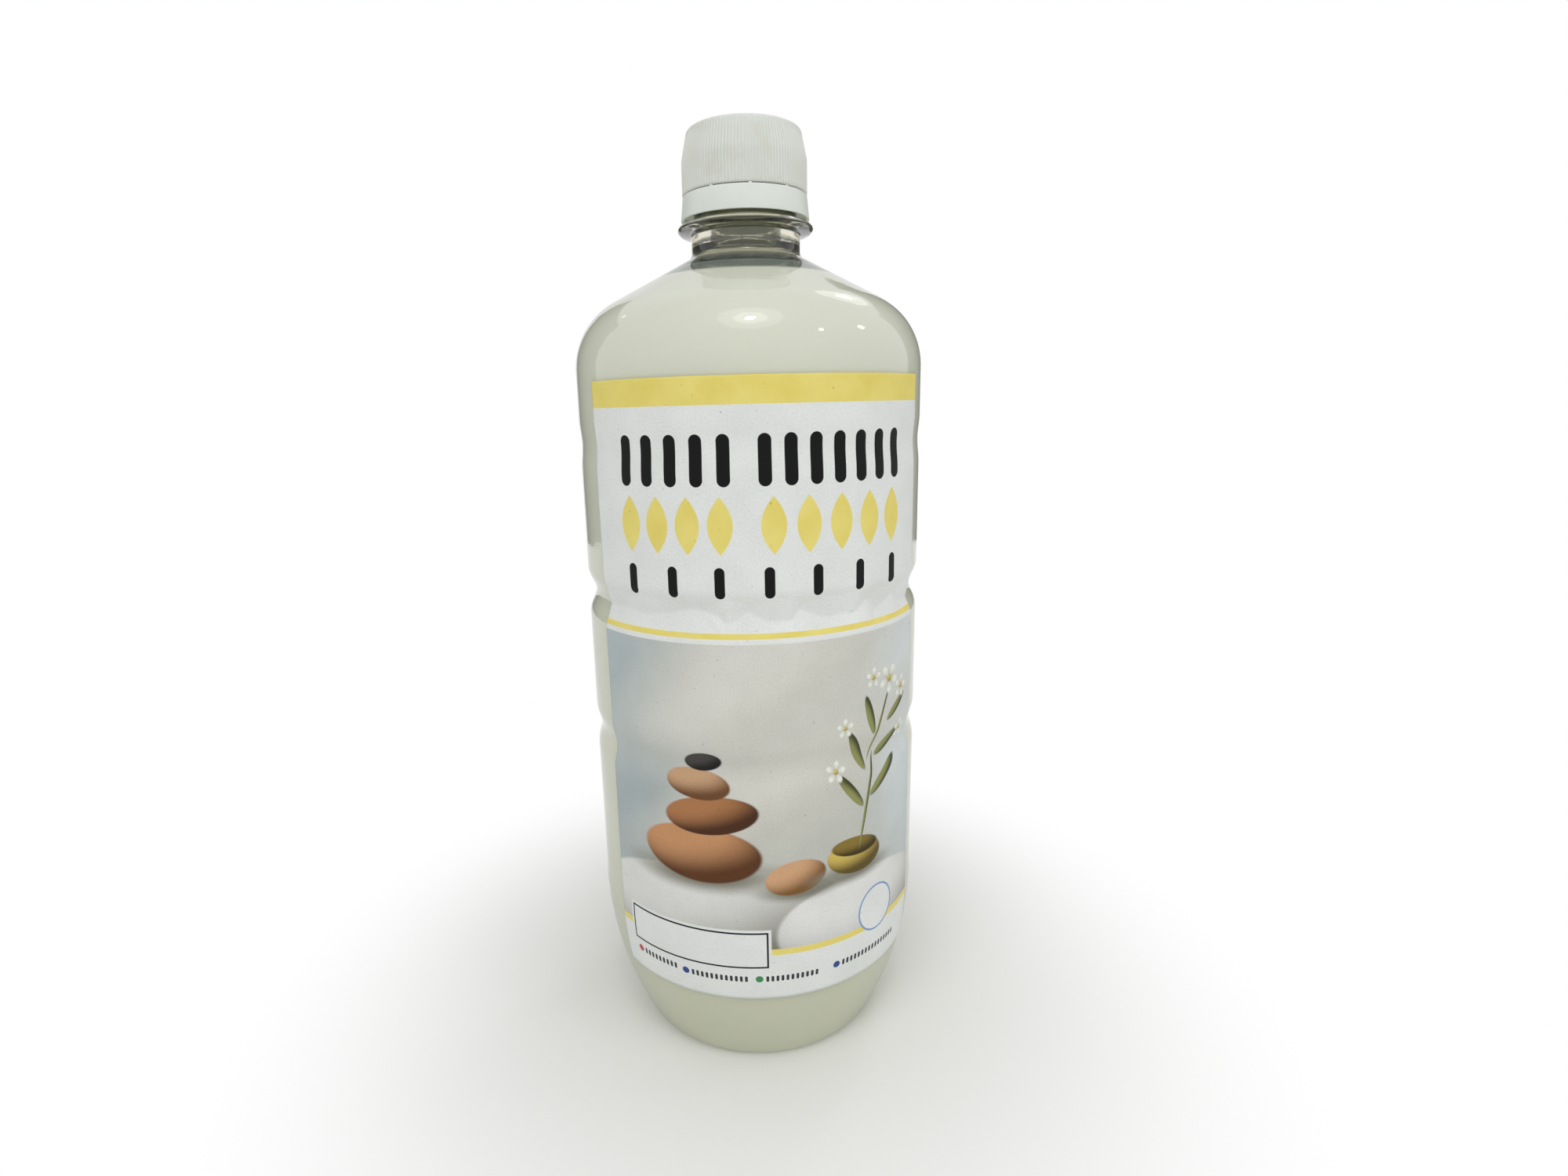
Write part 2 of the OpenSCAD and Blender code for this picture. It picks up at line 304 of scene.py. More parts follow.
def baseLine(t):
    edge = math.degrees(math.acos((baseR - b["baseRise"] + t) / (baseR + t)))
    return arc((0, b["baseRise"] - baseR), baseR + t, 90, 90 - edge, 14)


def finishLine():
    rim = [
        (b["neckR"], ringZ - b["ringRise"]),
        (b["ringR"] - b["ringEdge"], ringZ),
        (b["ringR"], ringZ + b["ringEdge"]),
        (b["ringR"], ringZ + b["ringT"] - b["ringEdge"]),
        (b["ringR"] - b["ringEdge"], ringZ + b["ringT"]),
        (b["rootR"] + b["ringFoot"], ringZ + b["ringT"] + b["ringFoot"] / 2),
        (b["rootR"], ringZ + b["ringT"] + b["ringFoot"] * 1.5),
        (b["rootR"], beadZ - b["beadUnder"]),
        (b["beadR"], beadZ),
        (b["beadR"], beadZ + b["beadCrest"]),
        (b["rootR"], beadZ + b["beadCrest"] + b["beadSlope"]),
    ]
    top = lipZ - b["lipChamfer"]
    wall = [(b["rootR"], z) for z in np.linspace(rim[-1][1] + 0.1, top, b["threadRows"])]
    neck = arc(filletC, b["neckFillet"], 180 + b["shoulderAngle"], 180, 8)
    mouth = [(b["rootR"] - b["lipChamfer"], lipZ), (b["boreR"], lipZ), (b["boreR"], lipZ - b["lipDepth"])]
    lip = soften([wall[-1], *mouth], b["lipSoft"])
    return neck + soften([neck[-1], *rim, wall[0]], b["rimSoft"])[1:] + wall[1:-1] + lip


def throatLine():
    return arc(filletC, b["neckFillet"] + b["wall"], 180 + b["shoulderAngle"], b["throatAngle"], 6)


# A right-hand ridge that winds up from z at angle 0: how far it stands out of its wall, from 0 to 1
def ridgeAt(angles, z, start, sweep):
    t = thread
    height = np.zeros_like(angles)
    for turn in range(int(sweep // 360) + 1):
        wound = np.degrees(angles) + 360 * turn
        off = np.abs(z - start - t["pitch"] * wound / 360)
        flank = np.clip((t["ridge"] / 2 - off) / ((t["ridge"] - t["crest"]) / 2), 0, 1)
        fade = np.clip(np.minimum(wound, sweep - wound) / t["fade"], 0, 1)
        height = np.maximum(height, flank * fade)
    return height


def neckThread(angles, r, z):
    if abs(r - b["rootR"]) > 0.01 or z < threadZ - thread["ridge"]:
        return 0
    return (thread["r"] - b["rootR"]) * ridgeAt(angles, z, threadZ, thread["sweep"])


def makeBottle():
    gateZ = b["baseRise"] - b["gateH"]
    gate = [(0, gateZ), (b["gateR"] - b["gateEdge"], gateZ), (b["gateR"], gateZ + b["gateEdge"])]
    outside = gate + [p for p in baseLine(0) if p[0] > b["gateR"]] + wallLine(0)[1:] + finishLine()
    inside = baseLine(b["wall"]) + wallLine(b["wall"], 2)[1:] + throatLine()
    inside.append((b["boreR"], filletC[1] + b["boreRise"]))
    piece = lathe("clear_bottle", outside + inside[::-1], b["steps"], neckThread)
    smooth(piece, 40)
    return piece


# Liquid: fills the inside up to its level and wets the wall, so that no air shows between them

liquid = dict(level=soapHigh.z, wetting=0.04, meniscus=0.25, meniscusW=1.5)


def makeLiquid():
    t = b["wall"] - liquid["wetting"]
    line = baseLine(t) + wallLine(t)[1:] + throatLine()
    line = [p for p in line if p[1] < liquid["level"] - 0.3]
    r, z = line[-1]
    topR = r - (liquid["level"] - z) * math.tan(math.radians(b["shoulderAngle"]))
    calmZ = liquid["level"] - liquid["meniscus"]
    line += [(topR, liquid["level"]), (topR - liquid["meniscusW"], calmZ), (0, calmZ)]
    piece = lathe("cloudy_soap", line, b["steps"])
    smooth(piece)
    return piece


# Screw cap: a smooth shell, then its knurls by a node tree

cap = dict(
    r=capHigh.x, low=capLow.z, top=capHigh.z, skirtH=7.3, draft=9.5, topT=1.3, edgeR=1.2,
    knurls=120, knurlDepth=0.25, perKnurl=4, linerGap=0.15, boreDrop=0.8, chamfer=0.25,
    hem=0.6, boreRows=46, bendR=8, bendDrop=0.4, crownDrop=1.5, crownOut=0.35,
)


def capThread(angles, r, z):
    boreR = thread["r"] + thread["gap"]
    if abs(r - boreR) > 0.01 or z < cap["low"] + cap["hem"]:
        return 0
    reach = boreR - b["rootR"] - thread["gap"]
    return -reach * ridgeAt(angles, z, threadZ - thread["pitch"] / 2, thread["capSweep"])


# Draws the outer wall in along upright V grooves, by the amount that the attribute `knurl` allows
def knurlTree(material):
    tree, start, end = newGroup(
        "GeometryNodeTree", "upright knurls",
        [("Shell", "NodeSocketGeometry"), ("Knurls", "NodeSocketInt"), ("Depth", "NodeSocketFloat")],
        [("Cap", "NodeSocketGeometry")],
    )
    spot = addNode(tree, "GeometryNodeInputPosition").outputs[0]
    axes = addNode(tree, "ShaderNodeSeparateXYZ", (spot,)).outputs
    angle = calc(tree, "ARCTAN2", axes[1], axes[0])
    count = calc(tree, "MULTIPLY", start.outputs["Knurls"], 1 / (2 * math.pi))
    wave = calc(tree, "PINGPONG", calc(tree, "MULTIPLY", angle, count), 0.5)
    allow = addNode(tree, "GeometryNodeInputNamedAttribute", {"Name": "knurl"}, data_type="FLOAT").outputs[0]
    depth = calc(tree, "MULTIPLY", start.outputs["Depth"], allow)
    inwards = calc(tree, "MULTIPLY", calc(tree, "MULTIPLY", wave, depth), -2)
    radial = vectorCalc(tree, "NORMALIZE", vectorCalc(tree, "MULTIPLY", spot, (1, 1, 0)))
    shift = addNode(tree, "ShaderNodeVectorMath", {0: radial, "Scale": inwards}, operation="SCALE").outputs[0]
    moved = addNode(tree, "GeometryNodeSetPosition", {"Geometry": start.outputs["Shell"], "Offset": shift})
    finishTree(tree, end, moved.outputs[0], material)
    return tree


def makeCap(material):
    c = cap
    insideZ = c["top"] - c["topT"]
    linerR = linerHigh.x + c["linerGap"]
    boreR = thread["r"] + thread["gap"]
    boreTop = lipZ - c["boreDrop"]
    skirtTop = c["low"] + c["skirtH"]
    crownR = c["r"] - (c["top"] - skirtTop) * math.tan(math.radians(c["draft"]))
    edgeC = (crownR - c["edgeR"], c["top"] - c["edgeR"])
    line = [(0, insideZ), (linerR, insideZ), (linerR, boreTop), (boreR, boreTop)]
    line += [(boreR, z) for z in np.linspace(boreTop - 0.1, c["low"] + 0.2, c["boreRows"])]
    line += [(boreR + 0.15, c["low"]), (c["r"] - c["chamfer"], c["low"]), (c["r"], c["low"] + c["chamfer"])]
    bendZ = skirtTop - c["bendDrop"]
    line += [(c["r"], z) for z in np.linspace(c["low"] + c["hem"], bendZ, 4)]
    line += arc((c["r"] - c["bendR"], bendZ), c["bendR"], 0, c["draft"], 4)[1:]
    crownEdge = edgeC[0] + c["edgeR"] * math.cos(math.radians(c["draft"]))
    line += [(crownEdge + c["crownOut"], edgeC[1] - c["crownDrop"])]
    line += arc(edgeC, c["edgeR"], c["draft"], 90, 8)
    line += [(edgeC[0] * 0.66, c["top"]), (edgeC[0] * 0.33, c["top"]), (0, c["top"])]
    piece = lathe("knurled_cap", line, c["knurls"] * c["perKnurl"], capThread)
    # Knurls run over the outer wall and fade out round the top edge
    allow = piece.data.attributes.new("knurl", "FLOAT", "POINT")
    heights = np.array([v.co.z for v in piece.data.vertices]) / mm
    radii = np.array([math.hypot(v.co.x, v.co.y) for v in piece.data.vertices]) / mm
    outer = radii > boreR + 0.2
    outer |= (heights > skirtTop) & (radii > edgeC[0])
    fade = np.clip((c["top"] - 0.1 - heights) / c["edgeR"], 0, 1)
    allow.data.foreach_set("value", (outer * fade).astype(np.float32))
    applyTree(piece, knurlTree(material), {"Knurls": c["knurls"], "Depth": c["knurlDepth"] * mm})
    smooth(piece, 50)
    return piece


# Tamper band: a smooth flared ring with small bridges in the slit

band = dict(
    r=capHigh.x, low=bandLow.z, top=capLow.z - 0.28, flare=0.5, wall=0.7, lipR=b["rootR"] + 0.7, lipH=0.8,
    lipGap=0.3, bridges=10, bridgeW=0.8, bridgeT=0.4, slit=0.28, clearance=0.05,
)


def bridgeTree(material):
    tree, start, end = newGroup(
        "GeometryNodeTree", "slit bridges",
        [("Ring", "NodeSocketGeometry"), ("Bridges", "NodeSocketInt"), ("Radius", "NodeSocketFloat"),
         ("Height", "NodeSocketFloat"), ("Size", "NodeSocketVector")],
        [("Band", "NodeSocketGeometry")],
    )
    i = start.outputs
    ring = addNode(tree, "GeometryNodeMeshCircle", {"Vertices": i["Bridges"], "Radius": i["Radius"]}).outputs[0]
    lift = addNode(tree, "ShaderNodeCombineXYZ", {"Z": i["Height"]}).outputs[0]
    turn = addNode(tree, "ShaderNodeCombineXYZ", {"Z": calc(tree, "DIVIDE", math.pi, i["Bridges"])}).outputs[0]
    placed = addNode(tree, "GeometryNodeTransform", {"Geometry": ring, "Translation": lift, "Rotation": turn})
    spot = addNode(tree, "GeometryNodeInputPosition").outputs[0]
    axes = addNode(tree, "ShaderNodeSeparateXYZ", (spot,)).outputs
    angle = calc(tree, "ARCTAN2", axes[1], axes[0])
    facing = addNode(tree, "ShaderNodeCombineXYZ", {"Z": angle}).outputs[0]
    block = addNode(tree, "GeometryNodeMeshCube", {"Size": i["Size"]})
    copies = addNode(tree, "GeometryNodeInstanceOnPoints", {
        "Points": placed.outputs[0], "Instance": block.outputs[0], "Rotation": facing,
    })
    both = addNode(tree, "GeometryNodeJoinGeometry")
    tree.links.new(i["Ring"], both.inputs[0])
    tree.links.new(copies.outputs[0], both.inputs[0])
    finishTree(tree, end, both.outputs[0], material)
    return tree


def makeBand(material):
    d = band
    innerR = d["r"] - d["wall"]
    hookZ = beadZ - d["lipGap"]
    line = [
        (innerR + d["flare"], d["low"]),
        (d["r"] + d["flare"], d["low"]),
        (d["r"], d["top"] - 0.3),
        (d["r"] - 0.1, d["top"]),
        (innerR, d["top"]),
        (innerR, hookZ + 0.1),
        (d["lipR"], hookZ),
        (d["lipR"], hookZ - d["lipH"]),
        (innerR + d["flare"] / 2, hookZ - 2 * d["lipH"]),
    ]
    ring = soften([line[-1], *line, line[0]], 0.14, 2)[1:-1]
    piece = lathe("smooth_band", ring, 240, loop=True)
    rise = d["slit"] - d["clearance"] + 0.3
    applyTree(piece, bridgeTree(material), {
        "Bridges": d["bridges"],
        "Radius": (innerR + 0.1 + d["bridgeT"] / 2) * mm,
        "Height": (d["top"] - 0.3 + rise / 2) * mm,
        "Size": (d["bridgeT"] * mm, d["bridgeW"] * mm, rise * mm),
    })
    smooth(piece)
    return piece


# Seal disc inside the cap

def makeLiner():
    r, low, high = linerHigh.x, linerLow.z, linerHigh.z
    line = soften([(0, low), (r, low), (r, high), (0, high)], 0.15)
    piece = lathe("seal_disc", line, 96)
    smooth(piece)
    return piece


# Paper label: one sheet that follows the wall, with creases over the waist groove

label = dict(
    width=90, low=paperLow.z, high=paperHigh.z, r=-paperLow.y, thickness=0.2, cell=0.45, foldCell=0.35,
    tilt=-0.3,  # degrees, the right end sits a little high
    bridging=0.12,  # share of a shallow groove that the paper spans
    foldLow=114.6, foldHigh=126.4, foldDepth=1.7,  # the buckled fold in the waist groove
)

# The paper buckled where it was pressed into the waist groove: its fold runs in teeth, as (u, z)
foldLine = (
    (-45, 119.6), (-38, 120.4), (-31, 119.3), (-24, 120.2), (-17.6, 122), (-11.6, 120.3), (-9.5, 117.2),
    (-5.2, 121.5), (0, 118.6), (4.5, 118.2), (7.1, 121.3), (13.9, 118.4), (17.6, 119.4), (20.5, 117.8),
    (25.3, 122.4), (27.8, 118.6), (31.2, 119.4), (35.5, 122.8), (39.9, 118.6), (45, 117.6),
)

# Small creases that stand up from the sheet: u and z of the middle, half length, half width, angle, height
creases = (
    (-13, 119.0, 2.6, 0.7, -48, 0.22), (-10.5, 121.6, 2.2, 0.6, 40, 0.15), (9, 123.0, 3.4, 0.8, 62, 0.15),
    (22.5, 122.6, 3.2, 0.8, 70, 0.18), (33, 122.8, 3.2, 0.8, 64, 0.18), (-30, 157.0, 9, 2.4, 4, 0.05),
    (14, 161.0, 16, 2.6, -3, 0.06), (-2, 131.6, 20, 1.8, 2, 0.05), (28, 140.0, 1.6, 12, 6, 0.05),
)


def creaseHeight(u, z):
    height = np.zeros_like(u)
    for middleU, middleZ, length, width, degrees, rise in creases:
        turn = math.radians(degrees)
        along = (u - middleU) * math.cos(turn) + (z - middleZ) * math.sin(turn)
        across = (z - middleZ) * math.cos(turn) - (u - middleU) * math.sin(turn)
        height += rise * np.exp(-(along / length) ** 2 - (across / width) ** 2)
    return height


# Depth of the paper in the grooves, never below the wall
def paperDip(u, z):
    s = label
    wallDip = grooveDip(z)
    valley = np.interp(u, [p[0] for p in foldLine], [p[1] for p in foldLine])
    upper = (s["foldHigh"] - z) / (s["foldHigh"] - valley)
    lower = (z - s["foldLow"]) / (valley - s["foldLow"])
    fold = s["foldDepth"] * np.clip(np.minimum(upper, lower), 0, 1)
    inFold = (z > s["foldLow"]) & (z < s["foldHigh"])
    return np.where(inFold, np.minimum(wallDip, fold), wallDip * (1 - s["bridging"]))


def makeLabel():
    s = label
    columns = int(s["width"] / s["cell"]) + 1
    # Rows lie closer where the paper buckled
    levels = [s["low"], s["foldLow"] - 2, s["foldHigh"] + 2, s["high"]]
    spacings = (2 * s["cell"], s["foldCell"], 2 * s["cell"])
    heights = [np.arange(low, high - step / 2, step) for low, high, step in zip(levels, levels[1:], spacings)]
    heights = np.append(np.concatenate(heights), s["high"])
    rows = len(heights)
    u, z = np.meshgrid(np.linspace(-s["width"] / 2, s["width"] / 2, columns), heights)
    sheetUv = np.stack([u / s["width"] + 0.5, (z - s["low"]) / (s["high"] - s["low"])], -1)
    lean = math.radians(s["tilt"])
    middle = (s["low"] + s["high"]) / 2
    turnedU = u * math.cos(lean) + (z - middle) * math.sin(lean)
    turnedZ = middle + (z - middle) * math.cos(lean) - u * math.sin(lean)
    heel = np.clip(b["heelTop"] - turnedZ, 0, None)
    dip = paperDip(turnedU, turnedZ)
    sunk = b["heelLongR"] - np.sqrt(b["heelLongR"] ** 2 - heel ** 2) + dip
    lift = np.minimum(creaseHeight(turnedU, turnedZ), dip + 0.05)
    r = s["r"] - 0.06 - sunk + lift
    angles = turnedU / s["r"] - math.pi / 2
    verts = np.stack([r * np.cos(angles), r * np.sin(angles), turnedZ], -1).reshape(-1, 3)
    index = np.arange(rows * columns).reshape(rows, columns)
    faces = np.stack([index[:-1, :-1], index[:-1, 1:], index[1:, 1:], index[1:, :-1]], -1).reshape(-1, 4)
    piece = newMesh("paper_label_sheet", (verts * mm).tolist(), faces.tolist())
    mesh = piece.data
    sheet = mesh.uv_layers.new(name="sheet")
    corners = np.zeros(len(mesh.loops), np.int32)
    mesh.loops.foreach_get("vertex_index", corners)
    sheet.data.foreach_set("uv", sheetUv.reshape(-1, 2)[corners].ravel().astype(np.float32))
    thick = piece.modifiers.new("paper thickness", "SOLIDIFY")
    thick.thickness = s["thickness"] * mm
    thick.offset = -1
    mesh.shade_smooth()
    return piece


# Materials

# Blown PET: clear and glossy on the thin wall and faintly smoky on the neck; its height ramp also paints shade in
# a dark band under the neck and paints light on the ring
def clearPet():
    material, tree = newMaterial("clear blown PET")
    spot = addNode(tree, "ShaderNodeTexCoord").outputs["Object"]
    height = addNode(tree, "ShaderNodeSeparateXYZ", (spot,)).outputs[2]
    # Heights of the stops, from the shoulder's top up to the bead. Painted shade: the stops from 195.3 to 198.4 mm
    # make a dark band that stands in for dark surroundings seen through the empty top. Painted light: the stop at
    # 206.5 mm lightens the ring to offset its shade. The other neck stops are its faint smoky tint
    stops = (
        (194.7, "#f7f8f4"), (195.3, "#505759"), (196.9, "#485052"), (197.3, "#5f696c"), (198.4, "#56616a"),
        (200.8, "#dfddcd"), (204.6, "#e6e1d0"), (206.5, "#e8e5d7"), (211.0, "#c8c9bd"),
    )
    low, high = stops[0][0], stops[-1][0]
    share = ranged(tree, height, (low * mm, high * mm))
    # Painted shade and painted light by height, over the neck's faint smoky tint
    smokeWithPaintedShadeAndLight = addNode(tree, "ShaderNodeValToRGB", (share,))
    ramp = smokeWithPaintedShadeAndLight.color_ramp
    for z, code in stops[1:-1]:
        ramp.elements.new((z - low) / (high - low))
    for element, (z, code) in zip(ramp.elements, stops):
        element.color = colour(code)
    # Seen edge on, the wall is deep enough to draw a fine dark outline
    facing = addNode(tree, "ShaderNodeLayerWeight", {"Blend": 0.5}).outputs["Facing"]
    edge = calc(tree, "POWER", ranged(tree, facing, (0.55, 0.98)), 2)
    outline = mixed(tree, edge, (1, 1, 1, 1), colour("#6c6e5c"))
    tint = mixed(tree, 1, smokeWithPaintedShadeAndLight.outputs[0], outline, "MULTIPLY")
    # Blowing leaves the wall faintly uneven, which bends the reflections, and a fine peel breaks them up
    ripple = addNode(tree, "ShaderNodeTexNoise", {"Vector": spot, "Scale": 1 / (11 * mm), "Detail": 2}).outputs[0]
    bump = addNode(tree, "ShaderNodeBump", {"Strength": 0.4, "Distance": 0.3 * mm, "Height": ripple}).outputs[0]
    drawn = addNode(tree, "ShaderNodeMapping", {"Vector": spot, "Scale": (1, 1, 2.5)}).outputs[0]
    peel = addNode(tree, "ShaderNodeTexNoise", {"Vector": drawn, "Scale": 1 / (1.6 * mm), "Detail": 1}).outputs[0]
    bump = addNode(tree, "ShaderNodeBump", {
        "Strength": 0.3, "Distance": 0.03 * mm, "Height": peel, "Normal": bump,
    }).outputs[0]
    shader = addNode(tree, "ShaderNodeBsdfPrincipled", {
        "Base Color": tint, "Roughness": 0.06, "IOR": 1.57, "Transmission Weight": 1.0, "Normal": bump,
    })
    # Light reaches the soap through the clear wall
    path = addNode(tree, "ShaderNodeLightPath").outputs
    through = calc(tree, "MAXIMUM", path["Is Shadow Ray"], path["Is Diffuse Ray"])
    clear = addNode(tree, "ShaderNodeBsdfTransparent", {"Color": colour("#f4f5f0")})
    finishMaterial(tree, addNode(tree, "ShaderNodeMixShader", (through, shader.outputs[0], clear.outputs[0])))
    return material


# Pearly hand soap: a cloudy liquid, soft and faintly streaked, with painted shade that makes it slightly darker
# towards the base
def pearlySoap():
    material, tree = newMaterial("pearly liquid soap")
    spot = addNode(tree, "ShaderNodeTexCoord").outputs["Object"]
    height = addNode(tree, "ShaderNodeSeparateXYZ", (spot,)).outputs[2]
    # Painted shade: this ramp darkens the soap from the top towards the base
    share = ranged(tree, height, (0, 0.19))
    depth = addNode(tree, "ShaderNodeValToRGB", (share,))
    depth.color_ramp.elements[0].color = colour("#ced0bb")
    depth.color_ramp.elements[1].color = colour("#e3e5da")
    swirl = addNode(tree, "ShaderNodeMapping", {"Vector": spot, "Scale": (1, 1, 3)}).outputs[0]
    cloud = addNode(tree, "ShaderNodeTexNoise", {"Vector": swirl, "Scale": 1 / (30 * mm), "Detail": 2}).outputs[0]
    tone = mixed(tree, 1, depth.outputs[0], ranged(tree, cloud, (0, 1), (0.96, 1.02)), "MULTIPLY")
    shader = addNode(tree, "ShaderNodeBsdfPrincipled", {
        "Base Color": tone, "Roughness": 0.35, "IOR": 1.36, "Specular IOR Level": 0.2, "Subsurface Weight": 0.3,
        "Subsurface Radius": (1, 1, 0.8), "Subsurface Scale": 4 * mm,
    })
    finishMaterial(tree, shader)
    return material


# Moulded white polyethylene: satin, with a fine tool grain and a little grime in the knurls
def mouldedWhite(name, code, grime, roughness):
    material, tree = newMaterial(name)
    spot = addNode(tree, "ShaderNodeTexCoord").outputs["Object"]
    stain = addNode(tree, "ShaderNodeTexNoise", {"Vector": spot, "Scale": 1 / (9 * mm), "Detail": 3}).outputs[0]
    tone = mixed(tree, ranged(tree, stain, (0.5, 0.75), (0, 0.45)), colour(code), colour(grime))
    grain = addNode(tree, "ShaderNodeTexNoise", {"Vector": spot, "Scale": 1 / (0.12 * mm), "Detail": 2}).outputs[0]
    bump = addNode(tree, "ShaderNodeBump", {"Strength": 0.08, "Distance": 0.02 * mm, "Height": grain}).outputs[0]
    shader = addNode(tree, "ShaderNodeBsdfPrincipled", {
        "Base Color": tone, "Roughness": roughness, "IOR": 1.51, "Subsurface Weight": 0.15,
        "Subsurface Radius": (1, 1, 1), "Subsurface Scale": 0.8 * mm, "Normal": bump,
    })
    finishMaterial(tree, shader)
    return material


# Foamed polyethylene: matt, soft and faintly pored
def linerFoam():
    material, tree = newMaterial("foamed polyethylene liner")
    spot = addNode(tree, "ShaderNodeTexCoord").outputs["Object"]
    cells = addNode(tree, "ShaderNodeTexVoronoi", {"Vector": spot, "Scale": 1 / (0.5 * mm)}).outputs[0]
    tone = mixed(tree, cells, colour("#efefea"), colour("#e0e0da"))
    shader = addNode(tree, "ShaderNodeBsdfPrincipled", {"Base Color": tone, "Roughness": 0.7, "IOR": 1.5})
    finishMaterial(tree, shader)
    return material


# Print on the label, in millimetres round the paper (u) and up the bottle (z)

inks = dict(
    paper="#e6e9e6", black="#0b0b0d", gold="#f8ea8c", goldDark="#dcc960", badgeRim="#86a0c6", grey="#3c3d42",
    red="#c25a5e", blue="#34508e", green="#3f8f5a",
)

# Rows that stand in place of the words: plain upright bars and leaf shapes
# first edge u, pitch, count, middle z, height, width, ink, shape
printRows = (
    (-36.2, 6.0, 5, 154.0, 11.0, 2.9, "black", "bar"),
    (-3.2, 5.65, 7, 154.0, 11.0, 2.9, "black", "bar"),
    (-36.2, 7.4, 4, 140.2, 12.5, 5.6, "gold", "leaf"),
    (-2.6, 7.8, 5, 140.2, 12.5, 5.6, "gold", "leaf"),
    (-38.0, 10.9, 7, 127.8, 7.0, 2.3, "black", "bar"),
    (-37.0, 1.25, 9, 30.6, 1.7, 0.7, "grey", "bar"),
    (-22.0, 1.25, 12, 30.2, 1.7, 0.7, "grey", "bar"),
    (-3.0, 1.25, 11, 30.2, 1.7, 0.7, "grey", "bar"),
    (17.0, 1.25, 16, 30.6, 1.7, 0.7, "grey", "bar"),
    (-39.6, 2.4, 1, 30.6, 1.9, 1.9, "red", "bar"),
    (-24.6, 2.4, 1, 30.2, 1.9, 1.9, "blue", "bar"),
    (-5.6, 2.4, 1, 30.2, 1.9, 1.9, "green", "bar"),
    (14.4, 2.4, 1, 30.6, 1.9, 1.9, "blue", "bar"),
)

plate = dict(left=-40, right=-2, low=33.4, high=43.2, frame=0.45, inset=0.7)
badge = dict(u=28.2, z=42.0, r=6.3, rim=0.5, soft=0.012)
rules = dict(top=(165.4, 200.0), upper=(115.3, 116.5), lower=(37.0, 38.6), picture=(38.6, 114.1))

# The picture field: soft rounded shapes, each u, z, radius u, radius z, turn, softness, light colour, dark colour
pictureShapes = (
    (-44, 80, 20, 60, 0, 0.7, "#b4c0c2", "#9fadb0"),  # cool haze at the sides
    (44, 84, 16, 46, 0, 0.6, "#d9e0e0", "#c3cccd"),
    (-4, 104, 34, 12, 24, 0.8, "#dcdbd3", "#d2d1c8"),  # a soft slant of light on the wall
    (6, 80, 40, 9, 24, 0.8, "#d6d5cc", "#cdccc3"),
    (-16, 41, 42, 5, 0, 0.8, "#77766b", "#6c6b5f"),
    (-17, 45, 36, 15, 3, 0.03, "#e0e1dd", "#7d7c6c"),  # large pale stones
    (27, 40, 27, 14, -5, 0.03, "#e4e5e2", "#86857a"),
    (-17, 57.5, 17, 3.5, 0, 0.6, "#8d8a7c", "#827f70"),
    (-18, 63, 15, 7.2, -3, 0.04, "#c99468", "#5c381f"),  # a pile of pebbles
    (-15, 73, 11.5, 4.8, 5, 0.04, "#b07a50", "#4a2c1a"),
    (-18, 80.5, 8.0, 3.6, -6, 0.05, "#c8a27e", "#6e4a2e"),
    (-16.5, 86, 4.6, 2.3, 4, 0.07, "#4a4643", "#1c1a1a"),
    (5.5, 53.5, 8.5, 2.2, 0, 0.6, "#8b897c", "#7f7d70"),
    (5, 57, 7.5, 4.3, 8, 0.05, "#d2a67e", "#7f5930"),
    (20, 55, 10, 2.4, 0, 0.6, "#8f8d82", "#838175"),
    (21, 59, 8.2, 4.6, -6, 0.04, "#d8bd62", "#5f5022"),  # a brass dish and its dark inside
    (21, 61.4, 7.0, 2.4, -6, 0.06, "#8a7434", "#3f3413"),
)

# A sprig: its stem and leaves, and small pale blossoms, each u, z and size
sprigLeaves = (
    (24.5, 72, 12, 0.45, 78), (29.0, 91, 9.5, 0.4, 66), (19.5, 76, 6.0, 1.3, 128), (30.5, 77, 6.2, 1.4, 38),
    (21.5, 85.5, 5.8, 1.3, 116), (33.0, 85, 5.6, 1.3, 24), (25.5, 93.5, 5.2, 1.2, 106), (36.0, 93, 4.8, 1.1, 30),
)
blossoms = (
    (32.5, 101, 3.9), (26.5, 102.5, 2.6), (38.2, 97.5, 3.0), (15.5, 81.5, 2.8), (38.5, 86.5, 2.6), (17.8, 92, 2.4),
)


# How the printed shapes are edged and lit, in shares of their size
strokes = dict(
    rowEdge=(1.04, 0.96), light=(-0.42, 0.72, 0), bulge=0.5, lit=(-0.25, 0.85),
    petals=5, petalLength=0.62, petalRoot=0.42, petalEdge=(1.12, 0.8), petalLit=(0.05, 0.7),
)


